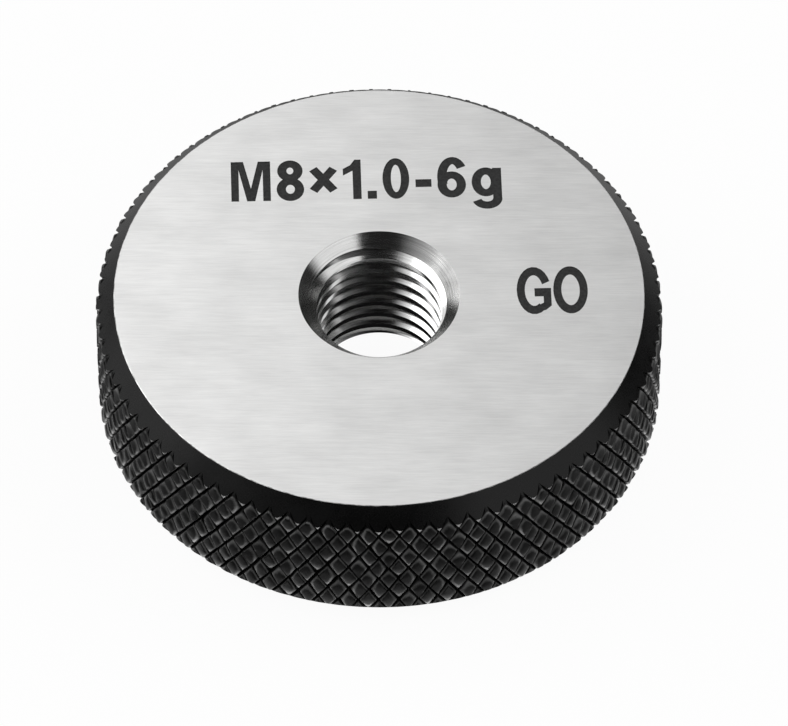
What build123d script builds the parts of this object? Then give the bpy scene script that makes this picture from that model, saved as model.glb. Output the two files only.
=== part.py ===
"""Thread ring gauge: one hardened steel ring, turned, diamond-knurled and bored for its thread.

Millimetres. The bore's axis is Z, and the lower face lies on the plane Z = 0.
"""

import os
from math import cos, floor, pi, radians, sin, tan

from build123d import *

# Ring
outside_diameter = 32.0  # over the tips of the knurl
thickness = 9.2
face_diameter = 29.9  # flat ground face, inside the rim chamfer
rim_chamfer_height = 1.35  # along the axis, from the face to the outside diameter

# Bore
bore_diameter = 7.1  # the minor diameter of an M8 x 1 thread, within its limits
countersink_diameter = 9.12  # at the face
countersink_angle = 80.0  # included

# Diamond knurl
knurl_teeth = 88  # around the rim; a multiple of four keeps the ring symmetrical
knurl_angle = 30.0  # of each groove from the axis
knurl_depth = 0.4

outside_radius = outside_diameter / 2
tooth_width = pi * outside_diameter / knurl_teeth
row_height = tooth_width / 2 / tan(radians(knurl_angle))
mid_plane = thickness / 2
rows_each_way = floor(mid_plane / row_height) + 1  # the last row stands clear of the face


def knurl_point(column, row):
    """Tip of a diamond where column + row is even, and crossing of two grooves where it is odd."""
    angle = pi * column / knurl_teeth
    radius = outside_radius if (column + row) % 2 == 0 else outside_radius - knurl_depth
    return Vector(radius * cos(angle), radius * sin(angle), mid_plane + row * row_height)


def facet(*points):
    return Face(Wire.make_polygon(points, close=True))


def knurl_cell(column, row):
    """Two diamond flanks that meet in the groove across one cell of the knurl."""
    left, right = knurl_point(column, row), knurl_point(column + 1, row)
    upper_left, upper_right = knurl_point(column, row + 1), knurl_point(column + 1, row + 1)
    if (column + row) % 2 == 0:
        return [facet(left, right, upper_left), facet(right, upper_right, upper_left)]
    return [facet(left, right, upper_right), facet(left, upper_right, upper_left)]


def knurled_bar():
    """Bar with a diamond knurl all over its side: each diamond is a low pyramid."""
    columns = range(2 * knurl_teeth)
    side = [
        flank
        for row in range(-rows_each_way, rows_each_way)
        for column in columns
        for flank in knurl_cell(column, row)
    ]
    ends = [facet(*[knurl_point(column, row) for column in columns]) for row in (-rows_each_way, rows_each_way)]
    return Solid(Shell(side + ends))


# The ring is the knurled bar inside a turned blank: the rim chamfers run the grooves out.
with BuildPart() as gauge_ring:
    with BuildSketch(Plane.XZ) as half_section:
        with BuildLine():
            Polyline(
                (0, 0),
                (face_diameter / 2, 0),
                (outside_radius, rim_chamfer_height),
                (outside_radius, thickness - rim_chamfer_height),
                (face_diameter / 2, thickness),
                (0, thickness),
                close=True,
            )
        make_face()
    revolve(axis=Axis.Z)
    add(knurled_bar(), mode=Mode.INTERSECT)

    for face_plane in (Plane.XY.offset(thickness), Plane.XY.rotated((180, 0, 0))):
        with Locations(face_plane):
            CounterSinkHole(
                radius=bore_diameter / 2,
                counter_sink_radius=countersink_diameter / 2,
                counter_sink_angle=countersink_angle,
            )

gauge_ring.part.label = "gauge_ring"

os.makedirs("parts", exist_ok=True)
export_step(gauge_ring.part, "parts/gauge_ring.step")
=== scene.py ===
"""Thread ring gauge: the finished look of the ring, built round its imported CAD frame.

Metres, in the frame of the CAD: the bore's axis is Z, and the lower face lies on the plane Z = 0.
"""

from math import cos, pi, radians, sin, sqrt, tan

import bmesh
import bpy
from bpy.props import FloatProperty, FloatVectorProperty, IntProperty, PointerProperty, StringProperty
from mathutils import Matrix, Vector


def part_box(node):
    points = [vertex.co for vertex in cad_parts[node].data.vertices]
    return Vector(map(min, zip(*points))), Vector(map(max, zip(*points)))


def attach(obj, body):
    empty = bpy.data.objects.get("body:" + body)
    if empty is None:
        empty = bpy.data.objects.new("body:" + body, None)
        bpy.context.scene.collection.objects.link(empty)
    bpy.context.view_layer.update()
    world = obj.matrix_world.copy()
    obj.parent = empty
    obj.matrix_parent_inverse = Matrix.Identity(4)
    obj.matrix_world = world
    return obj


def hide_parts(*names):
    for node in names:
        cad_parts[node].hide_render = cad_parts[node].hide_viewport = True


bl_info = {
    "name": "Thread Ring Gauge",
    "version": (1, 0, 0),
    "blender": (4, 5, 0),
    "location": "3D View > Sidebar > Gauge",
    "description": "Builds a diamond-knurled thread ring gauge and the stage that it stands on",
    "category": "Object",
}

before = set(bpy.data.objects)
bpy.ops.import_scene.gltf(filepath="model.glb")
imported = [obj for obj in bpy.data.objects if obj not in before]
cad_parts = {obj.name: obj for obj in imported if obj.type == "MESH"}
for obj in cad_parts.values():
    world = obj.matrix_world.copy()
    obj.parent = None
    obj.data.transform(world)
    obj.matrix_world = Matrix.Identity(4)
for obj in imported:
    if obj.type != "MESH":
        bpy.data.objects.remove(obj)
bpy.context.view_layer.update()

NODE = "gauge_ring"
MM = 0.001

BOX_LOW, BOX_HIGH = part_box(NODE)
OUTSIDE_DIAMETER = BOX_HIGH.x - BOX_LOW.x
THICKNESS = BOX_HIGH.z - BOX_LOW.z


# Sizes and colours -----------------------------------------------------------------------------


def length(name, default, description):
    return FloatProperty(
        name=name, description=description, default=default, min=0, subtype="DISTANCE", unit="LENGTH"
    )


def turn(name, default, description):
    """A turn whose default is given in degrees."""
    return FloatProperty(
        name=name, description=description, default=radians(default), subtype="ANGLE", unit="ROTATION"
    )


def colour(name, default, description):
    return FloatVectorProperty(
        name=name, description=description, default=default, min=0, max=1, subtype="COLOR"
    )


class RingSettings(bpy.types.PropertyGroup):
    """The turned blank"""

    outside_diameter: length("Outside Diameter", OUTSIDE_DIAMETER, "Diameter over the tips of the knurl")
    thickness: length("Thickness", THICKNESS, "Distance between the two ground faces")
    face_diameter: length("Face Diameter", 29.9 * MM, "Diameter of the ground face, inside the rim chamfer")
    foot_diameter: length("Foot Diameter", 30.25 * MM, "Diameter of the lower face, inside its rim chamfer")
    chamfer_height: length("Chamfer Height", 1.17 * MM, "Height of both rim chamfers along the axis")
    edge_break: length("Edge Break", 0.02 * MM, "Width of the worn edge between the face and the rim chamfer")


class KnurlSettings(bpy.types.PropertyGroup):
    """The diamond knurl"""

    teeth: IntProperty(name="Teeth", description="Number of teeth round the rim", default=88, min=12)
    angle: turn("Groove Angle", 30, "Angle of each groove from the axis")
    depth: length("Depth", 0.4 * MM, "Depth of the grooves below the tips")
    steps: IntProperty(name="Steps", description="Mesh steps along each side of a diamond", default=10, min=2)
    seed: IntProperty(name="Seed", description="Seed of the differences between the diamonds", default=7)


class ThreadSettings(bpy.types.PropertyGroup):
    """The bore, its thread and its countersinks"""

    major_diameter: length("Major Diameter", 8.0 * MM, "Diameter over the roots of the internal thread")
    minor_diameter: length("Minor Diameter", 7.1 * MM, "Diameter of the bore over the thread's crests")
    pitch: length("Pitch", 1.0 * MM, "Distance between turns of the thread")
    countersink_diameter: length("Countersink Diameter", 9.12 * MM, "Diameter of the countersink at the face")
    countersink_angle: turn("Countersink Angle", 80, "Included angle of the countersink")
    start: turn("Thread Start", 54, "Turn of the thread about the axis")


class MarkSettings(bpy.types.PropertyGroup):
    """The etched marks"""

    size_text: StringProperty(
        name="Thread Size", description="Thread that the gauge checks", default="M8×1.0-6g"
    )
    limit_text: StringProperty(name="Limit", description="Limit that the gauge checks", default="GO")
    depth: length("Mark Depth", 0.03 * MM, "Depth of the marks below the face")
    turn: turn("Mark Turn", 1.8, "Turn of all the marks about the axis")


class FinishSettings(bpy.types.PropertyGroup):
    """The colours of the finishes"""

    steel: colour("Steel", (0.74, 0.74, 0.735), "Ground and turned steel")
    black_oxide: colour("Black Oxide", (0.0035, 0.0035, 0.0035), "Blackened rim")
    mark: colour("Mark", (0.025, 0.025, 0.025), "Floor of the etched marks")


class StageSettings(bpy.types.PropertyGroup):
    """The floor, lights and camera"""

    floor: colour("Floor", (0.9, 0.9, 0.9), "Floor that the gauge stands on")
    lens: FloatProperty(
        name="Lens", description="Focal length of the camera, in millimetres", default=405.5, min=1
    )
    camera_place: FloatVectorProperty(
        name="Camera Place",
        description="Where the camera stands",
        default=(0.842 * MM, -311.331 * MM, 400.529 * MM),
        subtype="TRANSLATION",
        unit="LENGTH",
    )
    camera_tilt: turn("Camera Tilt", 51.939, "Angle of the camera's view below the horizon")
    camera_roll: turn("Camera Roll", 0.165, "Roll of the camera about its view")


# Node trees ------------------------------------------------------------------------------------


class Field:
    """A node's output that formulas are written with: each operation adds a Math node."""

    def __init__(self, tree, socket):
        self.tree = tree
        self.socket = socket

    def math(self, operation, *operands):
        node = self.tree.nodes.new("ShaderNodeMath")
        node.operation = operation
        for place, operand in enumerate((self, *operands)):
            connect(self.tree, operand, node.inputs[place])
        return Field(self.tree, node.outputs[0])

    def __add__(self, other):
        return self.math("ADD", other)

    def __sub__(self, other):
        return self.math("SUBTRACT", other)

    def __mul__(self, other):
        return self.math("MULTIPLY", other)

    def __truediv__(self, other):
        return self.math("DIVIDE", other)

    def floor(self):
        return self.math("FLOOR")

    def fraction(self):
        return self.math("FRACT")

    def absolute(self):
        return self.math("ABSOLUTE")

    def sine(self):
        return self.math("SINE")

    def cosine(self):
        return self.math("COSINE")

    def power(self, other):
        return self.math("POWER", other)

    def minimum(self, other):
        return self.math("MINIMUM", other)

    def maximum(self, other):
        return self.math("MAXIMUM", other)

    def smooth_minimum(self, other, distance):
        return self.math("SMOOTH_MIN", other, distance)

    def wrapped(self, period):
        return self.math("FLOORED_MODULO", period)

    def above(self, other):
        return self.math("GREATER_THAN", other)

    def __neg__(self):
        return self * -1.0


def connect(tree, value, socket):
    """Links a field or a socket to an input, or sets the input to a plain value."""
    if isinstance(value, Field):
        value = value.socket
    if isinstance(value, bpy.types.NodeSocket):
        tree.links.new(value, socket)
    else:
        socket.default_value = value


def add_node(tree, kind, inputs=None, **settings):
    """A node with its settings, and its inputs by name or number."""
    node = tree.nodes.new(kind)
    for name, value in settings.items():
        setattr(node, name, value)
    for name, value in (inputs or {}).items():
        connect(tree, value, node.inputs[name])
    return node


def geometry_tree(name, inputs):
    """A Geometry Nodes tree with named inputs, and a dictionary of those inputs as fields."""
    tree = bpy.data.node_groups.new(name, "GeometryNodeTree")
    tree.is_modifier = True
    tree.interface.new_socket("Geometry", in_out="OUTPUT", socket_type="NodeSocketGeometry")
    for input_name, kind in inputs.items():
        tree.interface.new_socket(input_name, in_out="INPUT", socket_type=f"NodeSocket{kind}")
    entry = tree.nodes.new("NodeGroupInput")
    return tree, {input_name: Field(tree, entry.outputs[input_name]) for input_name in inputs}


def grid_field(tree, columns, rows):
    """A grid of quads, one unit to a step and centred on the origin, with its column and row as fields."""
    grid = add_node(
        tree,
        "GeometryNodeMeshGrid",
        {"Size X": columns, "Size Y": rows, "Vertices X": columns + 1.0, "Vertices Y": rows + 1.0},
    )
    position = add_node(tree, "GeometryNodeInputPosition")
    place = add_node(tree, "ShaderNodeSeparateXYZ", {0: position.outputs[0]})
    return grid.outputs["Mesh"], Field(tree, place.outputs["X"]), Field(tree, place.outputs["Y"])


def close_round_axis(tree, mesh, radius, angle, height, material, merge_distance):
    """Wraps the grid round the axis, closes its seam and its poles, and ends the tree."""
    place = add_node(
        tree,
        "ShaderNodeCombineXYZ",
        {"X": radius * angle.cosine(), "Y": radius * angle.sine(), "Z": height},
    )
    moved = add_node(tree, "GeometryNodeSetPosition", {"Geometry": mesh, "Position": place.outputs[0]})
    merged = add_node(
        tree, "GeometryNodeMergeByDistance", {"Geometry": moved.outputs[0], "Distance": merge_distance}
    )
    split = add_node(tree, "GeometryNodeTriangulate", {"Mesh": merged.outputs[0]}, quad_method="FIXED")
    realized = add_node(tree, "GeometryNodeRealizeInstances", {"Geometry": split.outputs[0]})
    dressed = add_node(
        tree, "GeometryNodeSetMaterial", {"Geometry": realized.outputs[0], "Material": material}
    )
    add_node(tree, "NodeGroupOutput", {"Geometry": dressed.outputs[0]})


def generated_mesh(name, tree, values):
    """Runs a Geometry Nodes tree with its inputs set, and returns the plain mesh that it makes."""
    carrier = bpy.data.objects.new(name, bpy.data.meshes.new(name))
    bpy.context.scene.collection.objects.link(carrier)
    modifier = carrier.modifiers.new(tree.name, "NODES")
    modifier.node_group = tree
    for socket in tree.interface.items_tree:
        if socket.in_out == "INPUT":
            modifier[socket.identifier] = values[socket.name]
    graph = bpy.context.evaluated_depsgraph_get()
    mesh = bpy.data.meshes.new_from_object(carrier.evaluated_get(graph))
    bpy.data.objects.remove(carrier)
    return mesh


# Ring ------------------------------------------------------------------------------------------

OVERRUN = 0.35 * MM  # how far a cutter or a bar runs past the faces
MERGE_DISTANCE = 0.0005 * MM
TURNED_SEGMENTS = 360

GROOVE_SHARE = 0.2  # share of the way from a groove to a ridge that the groove's side takes
LIP_SOFTNESS = 0.28  # how widely the lip between that side and the land is rounded
CROWN = 0.4  # share of the height that the land's dome makes
CROWDING = 0.5  # share by which the mesh steps at the grooves are narrower than even ones
HEIGHT_ERROR = 0.05  # share of the depth by which the lowest diamonds fall short
TILT_ERROR = 1.1  # how far the diamonds' tops lean by chance
SPACING_ERROR = 0.03  # share of a tooth's width
RIGHT_HAND_WAVES = (7, 19)  # waves round the rim in the spacing of the grooves of each hand
LEFT_HAND_WAVES = (11, 23)


def knurl_tree():
    """Bar with a diamond knurl all over its side.

    Along a grid column only the grooves of one hand change, and along its diagonals only those of the
    other, so the bottom of every groove lies on mesh edges.
    """
    tree, given = geometry_tree(
        "Diamond Knurl",
        {
            "Outside Radius": "Float",
            "Teeth": "Int",
            "Groove Angle": "Float",
            "Depth": "Float",
            "Thickness": "Float",
            "Rows": "Int",
            "Steps": "Int",
            "Groove Share": "Float",
            "Lip Softness": "Float",
            "Crown": "Float",
            "Crowding": "Float",
            "Spacing Error": "Float",
            "Height Error": "Float",
            "Tilt Error": "Float",
            "Seed": "Int",
            "Merge Distance": "Float",
            "Material": "Material",
        },
    )
    teeth, steps, rows = given["Teeth"], given["Steps"], given["Rows"]
    mesh, column, row = grid_field(tree, teeth * steps, rows)

    def crowded(groove):
        """The groove's number, with the mesh steps crowded towards the grooves."""
        return groove + (groove * (2 * pi)).sine() * given["Crowding"] / (2 * pi)

    right_hand = crowded(column / steps)  # whole numbers on the ridges, halves in the grooves
    left_hand = crowded((column - row) / steps)

    def flank(groove):
        """0 in the groove and about 1 on the land between two grooves, which is slightly crowned."""
        across = ((groove.fraction() - 0.5).absolute() * 2.0).minimum(1.0)
        land = (across / given["Groove Share"]).smooth_minimum(1.0, given["Lip Softness"])
        dome = -((-across + 1.0).power(2.0)) + 1.0
        return land * (-given["Crown"] + 1.0) + dome * given["Crown"]

    def uneven(groove, waves):
        """The groove's number, moved by the slow error of a knurling wheel."""
        share = groove / teeth * (2 * pi)
        error = (share * float(waves[0])).sine() + (share * float(waves[1])).cosine()
        return groove + error * given["Spacing Error"]

    softness = given["Lip Softness"]
    top = -softness / 6.0 * (-given["Crown"] + 1.0) + 1.0
    height = flank(right_hand).smooth_minimum(flank(left_hand), softness)
    height = (height / (top - softness / 6.0)).maximum(0.0).minimum(1.0)

    right_number, left_number = (right_hand + 0.5).floor(), (left_hand + 0.5).floor()
    chance = add_node(
        tree,
        "FunctionNodeRandomValue",
        {"ID": right_number.wrapped(teeth) * teeth + left_number.wrapped(teeth), "Seed": given["Seed"]},
        data_type="FLOAT_VECTOR",
    )
    chance = add_node(tree, "ShaderNodeSeparateXYZ", {0: next(s for s in chance.outputs if s.enabled)})
    low, first_tilt, second_tilt = (Field(tree, s) for s in chance.outputs)
    right_offset, left_offset = right_hand - right_number, left_hand - left_number
    tilt = right_offset * (first_tilt - 0.5) + left_offset * (second_tilt - 0.5)
    height = (height * (tilt * given["Tilt Error"] - low * given["Height Error"] + 1.0)).minimum(1.0)

    first = uneven(right_hand, RIGHT_HAND_WAVES)
    second = uneven(left_hand, LEFT_HAND_WAVES)
    angle = (first + second) / teeth * pi
    tooth_width = given["Outside Radius"] / teeth * (2 * pi)
    groove_slope = given["Groove Angle"].math("TANGENT")
    level = given["Thickness"] / 2.0 + (first - second) * tooth_width / groove_slope / 2.0

    last_row = rows / 2.0
    at_end = row.absolute().above(last_row - 0.5)
    radius = given["Outside Radius"] - given["Depth"] * (-height + 1.0)
    radius = radius * (-at_end + 1.0)
    end_level = given["Thickness"] / 2.0 + row * tooth_width / groove_slope / steps / 2.0
    level = level + (end_level - level) * at_end
    close_round_axis(tree, mesh, radius, angle, level, given["Material"], given["Merge Distance"])
    return tree


def knurled_bar(ring, knurl):
    """Mesh of the knurled bar that the ring is turned from."""
    tooth_width = pi * ring.outside_diameter / knurl.teeth
    row_height = tooth_width / tan(knurl.angle) / knurl.steps / 2
    rows = 2 * int((ring.thickness / 2 + 2 * OVERRUN) / row_height + 1)
    values = {
        "Outside Radius": ring.outside_diameter / 2,
        "Teeth": knurl.teeth,
        "Groove Angle": knurl.angle,
        "Depth": knurl.depth,
        "Thickness": ring.thickness,
        "Rows": rows,
        "Steps": knurl.steps,
        "Groove Share": GROOVE_SHARE,
        "Lip Softness": LIP_SOFTNESS,
        "Crown": CROWN,
        "Crowding": CROWDING,
        "Spacing Error": SPACING_ERROR,
        "Height Error": HEIGHT_ERROR,
        "Tilt Error": TILT_ERROR,
        "Seed": knurl.seed,
        "Merge Distance": MERGE_DISTANCE,
        "Material": None,
    }
    return generated_mesh("knurled_bar", knurl_tree(), values)


def groove_place(number, waves, teeth):
    """Where a groove of the knurl really runs, in teeth, as in the knurl's node tree."""
    share = 2 * pi * number / teeth
    return number + SPACING_ERROR * (sin(share * waves[0]) + cos(share * waves[1]))


PROUD = 0.035 * MM  # how far the topmost diamonds stand above the rim chamfer
PIN_REACH = 0.4  # from the middle of a diamond to the side of its pin, in teeth
PIN_DEPTH = 0.75  # how deep the chamfer has cut where the pins end, as a share of the knurl's depth


def end_diamond_pins(ring, knurl):
    """Radial pins with the outline of the topmost whole diamonds, bounded just above the rim chamfer."""
    half_height = pi * ring.outside_diameter / knurl.teeth / tan(knurl.angle) / 2
    shoulder = ring.thickness / 2 - ring.chamfer_height
    row = round(shoulder / half_height)
    limit = shoulder + PIN_DEPTH * knurl.depth / chamfer_slope(ring, ring.face_diameter)
    near, far = ring.outside_diameter / 2 - 2 * knurl.depth, ring.outside_diameter / 2 + OVERRUN / 4
    pins = bmesh.new()
    for number in range(knurl.teeth):
        corners = []
        for right_step, left_step in block(-PIN_REACH, -PIN_REACH, PIN_REACH, PIN_REACH):
            first = groove_place(number + row + right_step, RIGHT_HAND_WAVES, knurl.teeth)
            second = groove_place(number + left_step, LEFT_HAND_WAVES, knurl.teeth)
            angle = (first + second) / knurl.teeth * pi
            corners.append((angle, min(limit, (first - second) * half_height)))
        inner, outer = (
            [pins.verts.new((r * cos(a), r * sin(a), ring.thickness / 2 + level)) for a, level in corners]
            for r in (near, far)
        )
        pins.faces.new(inner)
        pins.faces.new(outer)
        for place in range(4):
            after = (place + 1) % 4
            pins.faces.new((inner[place], inner[after], outer[after], outer[place]))
    made = bpy.data.meshes.new("end_diamond_pins")
    pins.to_mesh(made)
    pins.free()
    return machined(made, "INTERSECT", [blank_mesh(ring, PROUD)])


THREAD_STEPS = 144  # mesh steps round the bore
FLANK_ANGLE = radians(30)  # half of the angle of a metric thread
CREST_PARTS = 8  # the flat on the cutter's crest is the pitch divided by this
RUN_OUT = 0.2  # length at each end of the cutter that has no thread, in pitches


def thread_tree():
    """Plug with an external thread, which cuts the ring's thread.

    Each grid row is one turn of a helix, and four rows make one pitch: the start and end of the root
    flat, then the start and end of the crest flat. Past the faces the thread dies out into a plain pin.
    """
    tree, given = geometry_tree(
        "Screw Thread",
        {
            "Root Radius": "Float",
            "Crest Radius": "Float",
            "Pitch": "Float",
            "Flank Angle": "Float",
            "Crest Flat": "Float",
            "Low End": "Float",
            "High End": "Float",
            "Turns": "Int",
            "Steps": "Int",
            "Merge Distance": "Float",
            "Material": "Material",
        },
    )
    pitch, steps, turns = given["Pitch"], given["Steps"], given["Turns"]
    mesh, column, row = grid_field(tree, steps, turns * 4.0)
    corner = row.wrapped(4.0)
    turn_number = (row / 4.0).floor()
    depth = given["Crest Radius"] - given["Root Radius"]
    flank = depth * given["Flank Angle"].math("TANGENT")
    crest_flat = given["Crest Flat"]
    root_flat = pitch - crest_flat - flank * 2.0
    past_root = corner.above(0.5)
    on_crest = corner.above(1.5)
    past_crest = corner.above(2.5)
    along = root_flat * past_root + flank * on_crest + crest_flat * past_crest
    around = column / steps
    level = (turn_number + around) * pitch + along + (given["Low End"] + given["High End"]) / 2.0
    above_low_end = (level - given["Low End"]).above(pitch * RUN_OUT)
    below_high_end = (given["High End"] - level).above(pitch * RUN_OUT)
    radius = given["Root Radius"] + depth * on_crest * (above_low_end * below_high_end)
    level = level.maximum(given["Low End"]).minimum(given["High End"])
    at_end = row.absolute().above(turns * 2.0 - 0.5)
    radius = radius * (-at_end + 1.0)
    angle = around * (2 * pi)
    close_round_axis(tree, mesh, radius, angle, level, given["Material"], given["Merge Distance"])
    return tree


def thread_cutter(ring, thread):
    """Mesh of the threaded plug, two pitches longer than the ring at each end."""
    ends = 2 * thread.pitch
    values = {
        "Root Radius": thread.minor_diameter / 2,
        "Crest Radius": thread.major_diameter / 2,
        "Pitch": thread.pitch,
        "Flank Angle": FLANK_ANGLE,
        "Crest Flat": thread.pitch / CREST_PARTS,
        "Low End": -ends,
        "High End": ring.thickness + ends,
        "Turns": 2 * int((ring.thickness / 2 + ends) / thread.pitch + 2),
        "Steps": THREAD_STEPS,
        "Merge Distance": MERGE_DISTANCE,
        "Material": None,
    }
    cutter = generated_mesh("thread_cutter", thread_tree(), values)
    cutter.transform(Matrix.Rotation(thread.start, 4, "Z"))
    return cutter


def turned_mesh(name, profile):
    """Solid of revolution about Z from (radius, height) points, listed upwards from pole to pole."""
    mesh = bmesh.new()
    steps = [2 * pi * step / TURNED_SEGMENTS for step in range(TURNED_SEGMENTS)]
    low_pole, *corners, high_pole = profile
    rings = [
        [mesh.verts.new((radius * cos(a), radius * sin(a), level)) for a in steps]
        for radius, level in corners
    ]
    bottom, top = mesh.verts.new((0, 0, low_pole[1])), mesh.verts.new((0, 0, high_pole[1]))
    for step in range(TURNED_SEGMENTS):
        after = (step + 1) % TURNED_SEGMENTS
        mesh.faces.new((bottom, rings[0][after], rings[0][step]))
        for low, high in zip(rings, rings[1:]):
            mesh.faces.new((low[step], low[after], high[after], high[step]))
        mesh.faces.new((top, rings[-1][step], rings[-1][after]))
    made = bpy.data.meshes.new(name)
    mesh.to_mesh(made)
    mesh.free()
    return made


def chamfer_slope(ring, face_diameter):
    """How far the rim chamfer round a face leads outwards for each step along the axis."""
    return (ring.outside_diameter - face_diameter) / 2 / ring.chamfer_height


def blank_mesh(ring, swell=0.0):
    """The turned blank: two faces, their worn edges and the rim chamfers, all moved out by the swell."""
    foot, face = ring.foot_diameter / 2 + swell, ring.face_diameter / 2 + swell
    clear = OVERRUN / 2  # the widest part of the blank stands clear of the knurl's tips
    reach = ring.outside_diameter / 2 + swell + clear
    worn, top = ring.edge_break, ring.thickness
    low_slope = chamfer_slope(ring, ring.foot_diameter)
    high_slope = chamfer_slope(ring, ring.face_diameter)
    profile = [
        (0, 0),
        (foot - worn, 0),
        (foot + worn * low_slope, worn),
        (reach, ring.chamfer_height + clear / low_slope),
        (reach, top - ring.chamfer_height - clear / high_slope),
        (face + worn * high_slope, top - worn),
        (face - worn, top),
        (0, top),
    ]
    return turned_mesh("blank", profile)


def countersink_cutters(ring, thread):
    """A cone for each countersink, from outside the face down to its point."""
    mouth = thread.countersink_diameter / 2
    run = tan(thread.countersink_angle / 2)
    outside, point = mouth + OVERRUN * run, mouth / run
    top = ring.thickness
    return [
        turned_mesh("countersink", [(0, -OVERRUN), (outside, -OVERRUN), (0, point)]),
        turned_mesh("countersink", [(0, top - point), (outside, top + OVERRUN), (0, top + OVERRUN)]),
    ]


PEN = 0.182  # width of a sign's strokes, as a share of the height of the capitals
ARC_STEPS = 20
HALF_TURN = 190  # degrees in half a ring, with a little to overlap the other half

SIZE_START = (-8.2 * MM, 6.94 * MM)  # lower left corner of the thread size
SIZE_HEIGHT = 2.9 * MM  # height of its capitals
SIZE_GAP = 0.12  # between its signs, as a share of their height
LIMIT_START = (7.76 * MM, -1.62 * MM)
LIMIT_HEIGHT = 3.28 * MM
LIMIT_GAP = 0.055
LIMIT_WIDTH_SHARE = 0.76  # the limit is set in narrow capitals


def arc(centre, radii, start, end):
    """Points along an arc of an ellipse between two angles in degrees."""
    turns = [radians(start + (end - start) * step / ARC_STEPS) for step in range(ARC_STEPS + 1)]
    return [(centre[0] + radii[0] * cos(a), centre[1] + radii[1] * sin(a)) for a in turns]


def pen_stroke(path):
    """Outline of a stroke of the pen along a path, with square ends."""
    left, right = [], []
    for index, (x, y) in enumerate(path):
        before, after = path[max(index - 1, 0)], path[min(index + 1, len(path) - 1)]
        along = Vector((after[0] - before[0], after[1] - before[1])).normalized() * PEN / 2
        left.append((x - along.y, y + along.x))
        right.append((x + along.y, y - along.x))
    return left + right[::-1]


def ring_strokes(centre, radii):
    """A closed ring, as two strokes that overlap a little."""
    return [pen_stroke(arc(centre, radii, start, start + HALF_TURN)) for start in (0, 180)]


def half_rings(centre, outer, inner):
    """A closed ring between two ellipses, as two halves that overlap a little."""
    return [
        arc(centre, outer, start, start + HALF_TURN) + arc(centre, inner, start + HALF_TURN, start)
        for start in (0, 180)
    ]


def block(left, low, right, high):
    """Corners of a rectangle."""
    return [(left, low), (right, low), (right, high), (left, high)]


def sign_outlines():
    """Width and outlines of each sign, where the capitals are one unit high."""
    low_v = [(0.150, 0.0), (0.150, 0.788), (0.308, 0.0), (0.466, 0.0), (0.624, 0.788), (0.624, 0.0)]
    high_v = [(0.774, 0.0), (0.774, 1.0), (0.532, 1.0), (0.387, 0.318), (0.242, 1.0), (0.0, 1.0), (0.0, 0.0)]
    eight_low = ring_strokes((0.266, 0.282), (0.1785, 0.2045))
    eight_high = ring_strokes((0.266, 0.747), (0.1585, 0.1755))
    rising, falling = [(0.065, 0.23), (0.467, 0.78)], [(0.065, 0.78), (0.467, 0.23)]
    stem = [(0.19, 0.0), (0.355, 0.0), (0.355, 1.0), (0.235, 1.0)]
    flag = [(0.145, 0.86), (0.0, 0.77), (0.0, 0.6), (0.19, 0.72)]
    six_bowl = ring_strokes((0.276, 0.3175), (0.1885, 0.24))
    six_back = pen_stroke(arc((0.3, 0.5), (0.2125, 0.4225), 35, 205))
    small_g_bowl = ring_strokes((0.275, 0.365), (0.1875, 0.275))
    small_g_stem = block(0.408, -0.06, 0.583, 0.715)
    small_g_hook = pen_stroke(arc((0.29, -0.05), (0.2055, 0.1725), 3, -165))
    capital_g_back = pen_stroke(arc((0.386, 0.5), (0.2985, 0.4275), 23, 304))
    capital_g_bar = block(0.398, 0.37, 0.773, 0.55)
    jaw_inside = [(0.598, 0.45), (0.598, 0.23), (0.52, 0.2)]
    jaw_outside = [(0.52, 0.05), (0.64, 0.07), (0.773, 0.165), (0.773, 0.45)]
    return {
        "M": (0.774, [low_v + high_v]),
        "8": (0.532, eight_low + eight_high),
        "×": (0.532, [pen_stroke(rising), pen_stroke(falling)]),
        "1": (0.355, [stem + flag]),
        ".": (0.180, [block(0.0, 0.0, 0.18, 0.2)]),
        "0": (0.524, half_rings((0.262, 0.5), (0.262, 0.515), (0.098, 0.345))),
        "-": (0.313, [block(0.0, 0.27, 0.313, 0.465)]),
        "6": (0.552, six_bowl + [six_back]),
        "g": (0.583, small_g_bowl + [small_g_stem, small_g_hook]),
        "G": (0.773, [capital_g_back, capital_g_bar, jaw_inside + jaw_outside]),
        "O": (0.773, ring_strokes((0.386, 0.5), (0.2985, 0.4275))),
    }


def prism(outline, low, high):
    """Solid between two heights over a flat outline."""
    mesh = bmesh.new()
    foot = [mesh.verts.new((x, y, low)) for x, y in outline]
    head = [mesh.verts.new((x, y, high)) for x, y in outline]
    mesh.faces.new(foot)
    mesh.faces.new(head)
    for index, corner in enumerate(foot):
        after = (index + 1) % len(foot)
        mesh.faces.new((corner, foot[after], head[after], head[index]))
    made = bpy.data.meshes.new("prism")
    mesh.to_mesh(made)
    mesh.free()
    return made


def mark_cutter(text, start, capital_height, width_share, gap, ring, marks):
    """Cutter for one line of signs from its start: the width share narrows them and the gap parts them."""
    signs = sign_outlines()
    low, high = ring.thickness - marks.depth, ring.thickness + OVERRUN
    wide, along = capital_height * width_share, 0.0
    prisms = []
    for character in text:
        width, outlines = signs[character]
        for outline in outlines:
            placed = [(start[0] + (along + x) * wide, start[1] + y * capital_height) for x, y in outline]
            prisms.append(prism(placed, low, high))
        along += width + gap
    cutter = machined(prisms[0], "UNION", prisms[1:])
    cutter.transform(Matrix.Rotation(marks.turn, 4, "Z"))
    return cutter


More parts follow.
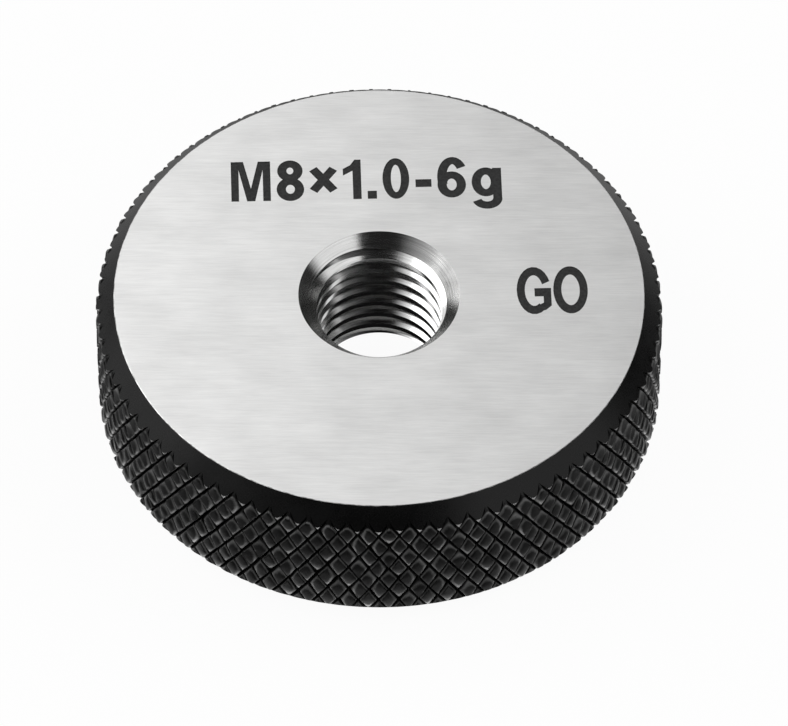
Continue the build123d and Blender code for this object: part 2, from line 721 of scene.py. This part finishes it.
def mark_cutters(ring, marks):
    """The thread size above the bore, and the limit to the right of it."""
    return [
        mark_cutter(marks.size_text, SIZE_START, SIZE_HEIGHT, 1.0, SIZE_GAP, ring, marks),
        mark_cutter(
            marks.limit_text, LIMIT_START, LIMIT_HEIGHT, LIMIT_WIDTH_SHARE, LIMIT_GAP, ring, marks
        ),
    ]


def faced_outwards(mesh):
    """The mesh, with its faces turned to point out of the solid."""
    edit = bmesh.new()
    edit.from_mesh(mesh)
    bmesh.ops.recalc_face_normals(edit, faces=edit.faces)
    edit.to_mesh(mesh)
    edit.free()
    return mesh


def machined(blank, operation, tools):
    """The blank's mesh after each tool has cut it, joined it (UNION) or bounded it (INTERSECT)."""
    work_mesh = faced_outwards(blank)
    for mesh in tools:
        work = bpy.data.objects.new("work", work_mesh)
        tool = bpy.data.objects.new("tool", faced_outwards(mesh))
        for piece in (work, tool):
            bpy.context.scene.collection.objects.link(piece)
        modifier = work.modifiers.new("Cut", "BOOLEAN")
        modifier.operation = operation
        modifier.object = tool
        modifier.solver = "MANIFOLD"
        graph = bpy.context.evaluated_depsgraph_get()
        made = bpy.data.meshes.new_from_object(work.evaluated_get(graph))
        for used in (work, tool):
            bpy.data.objects.remove(used)
        if len(made.vertices) in (0, len(work_mesh.vertices)):
            raise RuntimeError(f"a {operation} with {mesh.name} has changed nothing, or left nothing")
        work_mesh = made
    return work_mesh


FINISHES = (
    "ground_steel",
    "blackened_band",
    "blackened_knurl",
    "worn_edge",
    "turned_steel",
    "thread_steel",
    "etched_mark",
)
NEAR = 0.004 * MM  # how far a face may lie from the surface that it belongs to
LEVEL = 0.999  # upright part of the normal of a face that lies level
EDGE_TILT = 0.7  # least upright part of the normal of a face on the worn edge
CONE_TOLERANCE = 0.05  # in the upright part of the normal
CHAMFER_TOLERANCE = 0.03
KNURL_FOLD = radians(50)  # edges of the knurl that fold further than this are sharp
PLAIN_FOLD = radians(28)


def finish_of(face, ring, thread, marks):
    """Which finish a face of the ring has, from where it lies and which way it faces."""
    centre, normal = face.calc_center_median(), face.normal
    radius = Vector((centre.x, centre.y)).length
    depth = min(centre.z, ring.thickness - centre.z)
    tilt = abs(normal.z)
    face_diameter = ring.face_diameter if centre.z > ring.thickness / 2 else ring.foot_diameter
    face_radius, slope = face_diameter / 2, chamfer_slope(ring, face_diameter)
    if tilt > LEVEL and depth < NEAR:
        return "ground_steel"
    if radius < thread.countersink_diameter / 2 + NEAR:
        mouth = thread.countersink_diameter / 2 - depth * tan(thread.countersink_angle / 2)
        cone_tilt = sin(thread.countersink_angle / 2)
        on_cone = abs(radius - mouth) < 3 * NEAR and abs(tilt - cone_tilt) < CONE_TOLERANCE
        return "turned_steel" if on_cone else "thread_steel"
    if radius < face_radius - ring.edge_break - NEAR:
        return "etched_mark"
    if depth < ring.edge_break + NEAR and tilt > EDGE_TILT:
        return "worn_edge"
    on_chamfer = abs(radius - face_radius - depth * slope) < 6 * NEAR
    chamfer_tilt = 1 / sqrt(1 + 1 / slope**2)
    if on_chamfer and abs(tilt - chamfer_tilt) < CHAMFER_TOLERANCE:
        return "blackened_band"
    return "blackened_knurl"


def dress(mesh, ring, thread, marks, finishes):
    """Gives each face its finish, and keeps sharp every edge between two finishes."""
    for name in FINISHES:
        mesh.materials.append(finishes[name])
    edit = bmesh.new()
    edit.from_mesh(mesh)
    for face in edit.faces:
        face.material_index = FINISHES.index(finish_of(face, ring, thread, marks))
        face.smooth = True
    for edge in edit.edges:
        first, second = edge.link_faces
        on_knurl = first.material_index == FINISHES.index("blackened_knurl")
        folded = edge.calc_face_angle(0) > (KNURL_FOLD if on_knurl else PLAIN_FOLD)
        edge.smooth = first.material_index == second.material_index and not folded
    edit.to_mesh(mesh)
    edit.free()


# Finishes --------------------------------------------------------------------------------------


def new_material(name):
    """A node material, and its tree, its shader and the object's coordinates."""
    material = bpy.data.materials.new(name)
    material.use_nodes = True
    tree = material.node_tree
    shader = tree.nodes["Principled BSDF"]
    coordinates = add_node(tree, "ShaderNodeTexCoord")
    return material, tree, shader, coordinates.outputs["Object"]


def mapped(tree, vector, scale):
    """Coordinates scaled along each axis from metres to the units of a pattern."""
    node = add_node(tree, "ShaderNodeMapping", {"Vector": vector, "Scale": scale})
    return node.outputs[0]


def noise(tree, vector, detail, roughness):
    node = add_node(
        tree,
        "ShaderNodeTexNoise",
        {"Vector": vector, "Scale": 1.0, "Detail": detail, "Roughness": roughness},
    )
    return Field(tree, node.outputs[0])


def coordinate_fields(tree, vector):
    """The three coordinates, and the distance from the axis."""
    parts = add_node(tree, "ShaderNodeSeparateXYZ", {0: vector})
    x, y, z = (Field(tree, s) for s in parts.outputs)
    return x, y, z, (x * x + y * y).power(0.5)


def blend_colours(tree, factor, first, second):
    node = add_node(tree, "ShaderNodeMix", data_type="RGBA")
    connect(tree, factor, node.inputs[0])
    connect(tree, first, node.inputs[6])
    connect(tree, second, node.inputs[7])
    return node.outputs[2]


def spread(tree, value, low, high, new_low, new_high):
    """A value stretched from one range to another, and held at the ends."""
    node = add_node(
        tree,
        "ShaderNodeMapRange",
        {"Value": value, "From Min": low, "From Max": high, "To Min": new_low, "To Max": new_high},
    )
    return Field(tree, node.outputs[0])


def bump(tree, height, distance, strength):
    node = add_node(tree, "ShaderNodeBump", {"Height": height, "Distance": distance, "Strength": strength})
    return node.outputs[0]


def shade(colour_value, factor):
    """The colour made darker or lighter, with full alpha."""
    return tuple(min(1.0, c * factor) for c in colour_value) + (1.0,)


def shades(tree, tone, colour_value, dark, light):
    """From a darker to a lighter shade of one colour, as the tone goes from 0 to 1."""
    return blend_colours(tree, tone, shade(colour_value, dark), shade(colour_value, light))


def ground_steel(finish):
    """Steel ground on a surface grinder: fine straight scratches along X, which stretch what it mirrors."""
    material, tree, shader, place = new_material("ground_steel")
    fine = noise(tree, mapped(tree, place, (700.0, 14000.0, 14000.0)), 4.0, 0.75)
    broad = noise(tree, mapped(tree, place, (300.0, 4500.0, 4500.0)), 3.0, 0.6)
    patch = noise(tree, mapped(tree, place, (300.0, 500.0, 300.0)), 2.0, 0.5)
    grain = fine * 0.6 + broad * 0.4
    tone = spread(tree, grain + (patch - 0.5) * 0.5, 0.3, 0.7, 0.0, 1.0)
    connect(tree, shades(tree, tone, finish.steel, 0.9, 1.1), shader.inputs["Base Color"])
    connect(tree, spread(tree, grain, 0.3, 0.7, 0.3, 0.46), shader.inputs["Roughness"])
    connect(tree, bump(tree, grain, 0.002 * MM, 0.5), shader.inputs["Normal"])
    along = add_node(
        tree,
        "ShaderNodeVectorTransform",
        {0: (1.0, 0.0, 0.0)},
        vector_type="VECTOR",
        convert_from="OBJECT",
        convert_to="WORLD",
    )
    connect(tree, along.outputs[0], shader.inputs["Tangent"])
    shader.inputs["Anisotropic"].default_value = 0.5
    shader.inputs["Metallic"].default_value = 1.0
    return material


CLOUDS_PER_METRE = 450.0
OXIDE_SHADES = (0.6, 1.5)  # darkest and lightest of the black oxide


def oxide_coat(tree, place, grain_size, finish):
    """Fine grain and slow clouds of a black oxide coat, and its colour."""
    grain = noise(tree, mapped(tree, place, (1 / grain_size,) * 3), 5.0, 0.65)
    cloud = noise(tree, mapped(tree, place, (CLOUDS_PER_METRE,) * 3), 3.0, 0.5)
    tone = spread(tree, grain * 0.5 + cloud * 0.5, 0.35, 0.65, 0.0, 1.0)
    return grain, cloud, shades(tree, tone, finish.black_oxide, *OXIDE_SHADES)


def blackened_band(finish):
    """Black oxide on turned steel: near black and half matt, with a fine uneven grain."""
    material, tree, shader, place = new_material("blackened_band")
    grain, cloud, oxide = oxide_coat(tree, place, 0.09 * MM, finish)
    connect(tree, oxide, shader.inputs["Base Color"])
    connect(tree, spread(tree, cloud * 0.6 + grain * 0.4, 0.3, 0.7, 0.2, 0.34), shader.inputs["Roughness"])
    connect(tree, bump(tree, grain, 0.003 * MM, 0.4), shader.inputs["Normal"])
    shader.inputs["IOR"].default_value = 1.32
    return material


LIP_HEIGHT = 0.7  # where the lip of a diamond lies, as a share of the knurl's depth; the lip is lightened to steel, partly as wear and partly as a painted highlight
LIP_WIDTH = 0.17  # how far above and below that height the wear and painted highlight reach
CUT_HEIGHT = 0.45  # above this share of the depth, the last row is lightened to steel: partly steel bared by turning the chamfer, and partly a painted highlight along the chamfer's edge
BARE_AND_HIGHLIGHT_SHADES = (0.85, 0.9)  # of the steel on the lips and on the last row, which is partly wear and partly painted highlight
# metallic of the lips and the last row, where wear and a painted highlight lighten the black
WEAR_AND_HIGHLIGHT_METALLIC = 0.85


def blackened_knurl(finish, ring, knurl):
    """Black oxide on the knurl, lightened to steel along the lower lips of the diamonds and on the last row:
    partly wear, and partly a painted highlight.
    """
    material, tree, shader, place = new_material("blackened_knurl")
    grain, cloud, oxide = oxide_coat(tree, place, 0.07 * MM, finish)
    x, y, z, radius = coordinate_fields(tree, place)
    height = (radius - (ring.outside_diameter / 2 - knurl.depth)) / knurl.depth
    patchy = noise(tree, mapped(tree, place, (1500.0,) * 3), 3.0, 0.6)
    tooth_width = pi * ring.outside_diameter / knurl.teeth
    around = y.math("ARCTAN2", x) * (knurl.teeth / (2 * pi))
    along = (z - ring.thickness / 2) * (tan(knurl.angle) / tooth_width)
    right_hand, left_hand = around + along, around - along
    right_number, left_number = (right_hand + 0.5).floor(), (left_hand + 0.5).floor()
    below_centre = (left_hand - left_number) - (right_hand - right_number)

    # The lips: partly wear, and partly a painted highlight, which is lighter below the middle of each diamond
    # than above it, as the light falls.
    off_lip = (height + (patchy - 0.5) * 0.3 - LIP_HEIGHT).absolute()
    lip = spread(tree, off_lip, LIP_WIDTH, 0.0, 0.0, 1.0) * spread(tree, below_centre, -0.1, 0.5, 0.2, 1.0)
    lip = lip * spread(tree, cloud, 0.35, 0.6, 0.45, 1.0)
    # The last row: partly steel bared by turning the chamfer, and partly a painted highlight along the
    # chamfer's edge.
    shoulder = ring.thickness / 2 - ring.chamfer_height
    last_whole_row = round(shoulder * 2 * tan(knurl.angle) / tooth_width)
    cut_row = (right_number - left_number).above(last_whole_row + 0.5) * height.above(CUT_HEIGHT)
    cut_row = cut_row * spread(tree, patchy, 0.35, 0.5, 0.3, 1.0)
    # Wear and painted highlight together, on the lips and on the last row.
    worn = lip.maximum(cut_row)
    bare = shades(tree, cut_row, finish.steel, *BARE_AND_HIGHLIGHT_SHADES)
    connect(tree, blend_colours(tree, worn, oxide, bare), shader.inputs["Base Color"])
    connect(tree, worn * WEAR_AND_HIGHLIGHT_METALLIC, shader.inputs["Metallic"])
    connect(tree, spread(tree, cloud * 0.6 + grain * 0.4, 0.3, 0.7, 0.25, 0.4), shader.inputs["Roughness"])
    connect(tree, bump(tree, grain, 0.004 * MM, 0.5), shader.inputs["Normal"])
    shader.inputs["IOR"].default_value = 1.27
    return material


def worn_edge(finish):
    """Half bare steel along the edge of the face, where grinding has cut through the black."""
    material, tree, shader, place = new_material("worn_edge")
    wear = noise(tree, mapped(tree, place, (1600.0,) * 3), 4.0, 0.7)
    tone = spread(tree, wear, 0.4, 0.6, 0.0, 1.0)
    connect(tree, shades(tree, tone, finish.steel, 0.25, 0.9), shader.inputs["Base Color"])
    connect(tree, spread(tree, wear, 0.3, 0.7, 0.3, 0.45), shader.inputs["Roughness"])
    shader.inputs["Metallic"].default_value = 1.0
    return material


def turned(name, finish, line_width, roughness, depth):
    """Steel cut on a lathe: fine lines round the bore, closer or wider by chance."""
    material, tree, shader, place = new_material(name)
    x, y, z, radius = coordinate_fields(tree, place)
    angle = y.math("ARCTAN2", x)
    lines = add_node(
        tree,
        "ShaderNodeCombineXYZ",
        {"X": (radius + z) / line_width, "Y": angle.sine() * 0.6, "Z": angle.cosine() * 0.6},
    )
    line = noise(tree, lines.outputs[0], 4.0, 0.7)
    tone = spread(tree, line, 0.3, 0.7, 0.0, 1.0)
    connect(tree, shades(tree, tone, finish.steel, 0.75, 1.1), shader.inputs["Base Color"])
    connect(tree, spread(tree, line, 0.3, 0.7, roughness * 0.8, roughness * 1.3), shader.inputs["Roughness"])
    connect(tree, bump(tree, line, depth, 0.6), shader.inputs["Normal"])
    shader.inputs["Metallic"].default_value = 1.0
    return material


def etched_mark(finish):
    """Dark etched floor of a mark, slightly mottled."""
    material, tree, shader, place = new_material("etched_mark")
    mottle = noise(tree, mapped(tree, place, (5000.0,) * 3), 4.0, 0.7)
    tone = spread(tree, mottle, 0.35, 0.65, 0.0, 1.0)
    connect(tree, shades(tree, tone, finish.mark, 0.7, 1.35), shader.inputs["Base Color"])
    connect(tree, bump(tree, mottle, 0.004 * MM, 0.5), shader.inputs["Normal"])
    shader.inputs["Roughness"].default_value = 0.75
    shader.inputs["IOR"].default_value = 1.3
    return material


def ring_finishes(finish, ring, knurl):
    return {
        "ground_steel": ground_steel(finish),
        "blackened_band": blackened_band(finish),
        "blackened_knurl": blackened_knurl(finish, ring, knurl),
        "worn_edge": worn_edge(finish),
        "turned_steel": turned("turned_steel", finish, 0.06 * MM, 0.16, 0.004 * MM),
        "thread_steel": turned("thread_steel", finish, 0.09 * MM, 0.14, 0.002 * MM),
        "etched_mark": etched_mark(finish),
    }


class GAUGE_OT_ring(bpy.types.Operator):
    """Knurl, turn, bore, thread and mark the ring"""

    bl_idname = "gauge.ring"
    bl_label = "Build Ring"

    def execute(self, context):
        scene = context.scene
        ring, knurl = scene.gauge_ring, scene.gauge_knurl
        thread, marks = scene.gauge_thread, scene.gauge_marks
        blank = machined(blank_mesh(ring), "UNION", [end_diamond_pins(ring, knurl)])
        turned_bar = machined(knurled_bar(ring, knurl), "INTERSECT", [blank])
        bore_cutters = [thread_cutter(ring, thread), *countersink_cutters(ring, thread)]
        bored = machined(turned_bar, "DIFFERENCE", bore_cutters)
        mesh = machined(bored, "DIFFERENCE", mark_cutters(ring, marks))
        mesh.name = "ring"
        mesh.materials.clear()
        dress(mesh, ring, thread, marks, ring_finishes(scene.gauge_finish, ring, knurl))
        piece = bpy.data.objects.new("ring", mesh)
        scene.collection.objects.link(piece)
        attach(piece, "root")
        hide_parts(NODE)
        return {"FINISHED"}


# Stage -----------------------------------------------------------------------------------------

WHITE = (1, 1, 1, 1)
AMBIENT = 0.5  # strength of the world's light
FLOOR_REACH = 6.0
FLOOR_DROP = 0.01 * MM  # how far the floor lies below the gauge
FLOOR_GLOW = 0.95  # share of the floor's look that is plain white
SENSOR_WIDTH = 36.0
CLIP_START, CLIP_END = 0.01, 50.0

SKY_CARDS = {  # distance, lowest and highest elevation, and (bearing, brightness) stops
    "low_front_card": (
        1.2,
        (0, 42),
        [(-100, 0.8), (-60, 0.45), (-28, 0.03), (-20, 0.016), (28, 0.016)],
    ),
    "high_front_card": (1.2, (42, 78), [(-48, 0.8), (-25, 0.004), (28, 0.004), (50, 0.04), (98, 0.2)]),
    "side_dark_card": (1.2, (0, 65), [(84, 0.9), (97, 0.02), (150, 0.02)]),
    "side_card": (1.25, (28, 42), [(60, 0.05), (84, 0.18), (98, 0.2)]),
}
# Cards on the floor that only the steel's reflections show, with painted light and shade: a painted contact
# shadow beside the gauge, painted light just round its foot fore and aft, and painted shade on the floor
# under the bore.
FLOOR_CARDS = {  # (radius, brightness fore and aft, brightness aside) stops
    "floor_light_and_shade_card": [
        (14.5 * MM, 1.0, 1.0),
        (16.6 * MM, 1.0, 0.9),
        (17.6 * MM, 0.6, 0.08),
        (19.5 * MM, 0.35, 0.1),
        (24 * MM, 0.16, 0.6),
        (32 * MM, 0.1, 0.9),
        (45 * MM, 0.08, 0.6),
        (80 * MM, 0.08, 0.15),
        (1200 * MM, 0.08, 0.1),
    ],
    # painted shade: the floor under the bore, dark as the steel's reflections show it
    "bore_shade_card": [(0.01 * MM, 0.006, 0.006), (3.5 * MM, 0.006, 0.006)],
}
FLOOR_CARD_HEIGHT = 0.02 * MM
CARD_STEP = 6  # degrees of bearing between the points of a sky card
CARD_LEVELS = 7
CARD_TURNS = 72


def seen_directly(tree):
    """1 for camera, glossy and transmission rays, which see the plain background, and 0 for the rest."""
    path = add_node(tree, "ShaderNodeLightPath")
    names = ("Is Camera Ray", "Is Glossy Ray", "Is Transmission Ray")
    rays = [Field(tree, path.outputs[name]) for name in names]
    return rays[0].maximum(rays[1]).maximum(rays[2])


def lit_world():
    """A world that lights the gauge evenly and is seen as plain white."""
    world = bpy.data.worlds.new("studio")
    bpy.context.scene.world = world
    world.use_nodes = True
    tree = world.node_tree
    tree.nodes.clear()
    light = add_node(tree, "ShaderNodeBackground", {"Color": WHITE, "Strength": AMBIENT})
    backdrop = add_node(tree, "ShaderNodeBackground", {"Color": WHITE, "Strength": 1.0})
    mixed = add_node(
        tree,
        "ShaderNodeMixShader",
        {0: seen_directly(tree), 1: light.outputs[0], 2: backdrop.outputs[0]},
    )
    add_node(tree, "ShaderNodeOutputWorld", {"Surface": mixed.outputs[0]})


def floor_material(floor_colour):
    """Pale floor: part of what the camera sees is plain white, and the rest is lit and takes the shadow."""
    material, tree, shader, place = new_material("pale_floor")
    mottle = noise(tree, mapped(tree, place, (40.0,) * 3), 3.0, 0.5)
    tone = spread(tree, mottle, 0.3, 0.7, 0.0, 1.0)
    connect(tree, shades(tree, tone, floor_colour, 0.985, 1.0), shader.inputs["Base Color"])
    shader.inputs["Roughness"].default_value = 0.9
    shader.inputs["Specular IOR Level"].default_value = 0.0
    white = add_node(tree, "ShaderNodeEmission", {"Color": WHITE, "Strength": 1.0})
    mixed = add_node(
        tree,
        "ShaderNodeMixShader",
        {0: seen_directly(tree) * FLOOR_GLOW, 1: shader.outputs[0], 2: white.outputs[0]},
    )
    connect(tree, mixed.outputs[0], tree.nodes["Material Output"].inputs["Surface"])
    return material


def area_lamp(name, place, side, energy):
    """A square lamp that is aimed at the gauge."""
    data = bpy.data.lights.new(name, "AREA")
    data.shape = "RECTANGLE"
    data.size, data.size_y = side, side
    data.energy = energy
    lamp = bpy.data.objects.new(name, data)
    lamp.location = place
    lamp.rotation_euler = (-Vector(place)).to_track_quat("-Z", "Y").to_euler()
    bpy.context.scene.collection.objects.link(lamp)
    lamp.visible_camera = False
    return lamp


def card(name, points, faces, tones):
    """A card that only the steel's reflections show, with its brightness at each point."""
    mesh = bpy.data.meshes.new(name)
    mesh.from_pydata(points, [], faces)
    brightness = mesh.attributes.new("brightness", "FLOAT", "POINT")
    brightness.data.foreach_set("value", tones)
    material, tree, shader, _ = new_material(name)
    tree.nodes.remove(shader)
    tone = add_node(tree, "ShaderNodeAttribute", attribute_name="brightness")
    glow = add_node(tree, "ShaderNodeEmission", {"Color": WHITE, "Strength": tone.outputs["Fac"]})
    connect(tree, glow.outputs[0], tree.nodes["Material Output"].inputs["Surface"])
    mesh.materials.append(material)
    piece = bpy.data.objects.new(name, mesh)
    bpy.context.scene.collection.objects.link(piece)
    piece.visible_camera = False
    piece.visible_diffuse = False
    piece.visible_transmission = False
    piece.visible_shadow = False


def sheet_card(name, rows):
    """A card made of rows of (place, brightness) points, all of one length."""
    across = len(rows[0])
    points = [place for row in rows for place, _ in row]
    tones = [tone for row in rows for _, tone in row]
    faces = []
    for row in range(len(rows) - 1):
        for step in range(across - 1):
            corner = row * across + step
            faces.append((corner, corner + 1, corner + across + 1, corner + across))
    card(name, points, faces, tones)


def sky_place(bearing, elevation, distance):
    """Point seen from the gauge at a bearing from the front, turning to the right, and an elevation."""
    a, e = radians(bearing), radians(elevation)
    return (distance * sin(a) * cos(e), -distance * cos(a) * cos(e), distance * sin(e))


def sky_card(name, distance, elevations, stops):
    """A card bent round the gauge between two elevations, from (bearing, brightness) stops."""
    bearings = []
    for (first, first_tone), (last, last_tone) in zip(stops, stops[1:]):
        steps = max(1, round((last - first) / CARD_STEP))
        bearings += [
            (first + (last - first) * step / steps, first_tone + (last_tone - first_tone) * step / steps)
            for step in range(steps)
        ]
    bearings.append(stops[-1])
    low, high = elevations
    levels = [low + (high - low) * step / (CARD_LEVELS - 1) for step in range(CARD_LEVELS)]
    rows = [
        [(sky_place(bearing, level, distance), tone) for bearing, tone in bearings] for level in levels
    ]
    sheet_card(name, rows)


def floor_card(name, stops):
    """A ring or disc on the floor round the axis, from stops as in FLOOR_CARDS."""
    turns = [2 * pi * step / CARD_TURNS for step in range(CARD_TURNS + 1)]
    rows = []
    for radius, fore_and_aft, aside in stops:
        row = []
        for a in turns:
            share = sin(a) ** 4
            tone = aside + (fore_and_aft - aside) * share
            row.append(((radius * cos(a), radius * sin(a), FLOOR_CARD_HEIGHT), tone))
        rows.append(row)
    sheet_card(name, rows)


def near_card(name, away, tilt, half_width, half_height, left, right, rise):
    """A flat card over the back of the gauge, from its left and right brightness and its rise upwards."""
    centre = Vector((0, away * cos(tilt), away * sin(tilt)))
    up = Vector((0, -sin(tilt), cos(tilt)))
    rows = []
    for lift in (-1, 1):
        row = []
        for side in (-1, 0, 1):
            place = centre + up * half_height * lift + Vector((half_width * side, 0, 0))
            tone = (left + right) / 2 + (right - left) / 2 * side + rise * lift
            row.append((tuple(place), tone))
        rows.append(row)
    sheet_card(name, rows)


class GAUGE_OT_stage(bpy.types.Operator):
    """Set up the floor, the lights, the cards that the steel reflects, and the camera"""

    bl_idname = "gauge.stage"
    bl_label = "Set Up Stage"

    def execute(self, context):
        scene = context.scene
        stage = scene.gauge_stage
        corners = block(-FLOOR_REACH, -FLOOR_REACH, FLOOR_REACH, FLOOR_REACH)
        mesh = bpy.data.meshes.new("floor")
        mesh.from_pydata([(x, y, -FLOOR_DROP) for x, y in corners], [], [(0, 1, 2, 3)])
        mesh.materials.append(floor_material(stage.floor))
        floor_piece = bpy.data.objects.new("floor", mesh)
        scene.collection.objects.link(floor_piece)

        lit_world()
        area_lamp("key_lamp", place=(-0.8, 0.1, 0.7), side=1.0, energy=5.0)
        fill = area_lamp("fill_lamp", place=(0.8, 0.1, 0.7), side=0.6, energy=3.0)
        fill.visible_glossy = False
        for name, (distance, elevations, stops) in SKY_CARDS.items():
            sky_card(name, distance, elevations, stops)
        for name, stops in FLOOR_CARDS.items():
            floor_card(name, stops)
        near_card(
            "back_card",
            away=80 * MM,
            tilt=radians(52),
            half_width=45 * MM,
            half_height=40 * MM,
            left=1.44,
            right=0.32,
            rise=0.1,
        )

        data = bpy.data.cameras.new("camera")
        data.lens = stage.lens
        data.sensor_width = SENSOR_WIDTH
        data.clip_start, data.clip_end = CLIP_START, CLIP_END
        camera = bpy.data.objects.new("camera", data)
        camera.matrix_world = (
            Matrix.Translation(stage.camera_place)
            @ Matrix.Rotation(pi / 2 - stage.camera_tilt, 4, "X")
            @ Matrix.Rotation(stage.camera_roll, 4, "Z")
        )
        scene.collection.objects.link(camera)
        scene.camera = camera

        scene.view_settings.view_transform = "Standard"
        return {"FINISHED"}


class GAUGE_PT_build(bpy.types.Panel):
    """Lists the steps that build the gauge"""

    bl_idname = "GAUGE_PT_build"
    bl_label = "Thread Ring Gauge"
    bl_space_type = "VIEW_3D"
    bl_region_type = "UI"
    bl_category = "Gauge"

    def draw(self, context):
        for operator in OPERATORS:
            self.layout.operator(operator.bl_idname)


SETTINGS = {
    "gauge_ring": RingSettings,
    "gauge_knurl": KnurlSettings,
    "gauge_thread": ThreadSettings,
    "gauge_marks": MarkSettings,
    "gauge_finish": FinishSettings,
    "gauge_stage": StageSettings,
}
OPERATORS = (GAUGE_OT_ring, GAUGE_OT_stage)


def register():
    for cls in (*SETTINGS.values(), *OPERATORS, GAUGE_PT_build):
        bpy.utils.register_class(cls)
    for name, settings in SETTINGS.items():
        setattr(bpy.types.Scene, name, PointerProperty(type=settings))


def unregister():
    for name in SETTINGS:
        delattr(bpy.types.Scene, name)
    for cls in reversed((*SETTINGS.values(), *OPERATORS, GAUGE_PT_build)):
        bpy.utils.unregister_class(cls)


def main():
    register()
    bpy.ops.gauge.ring()
    bpy.ops.gauge.stage()


if __name__ == "__main__":
    main()
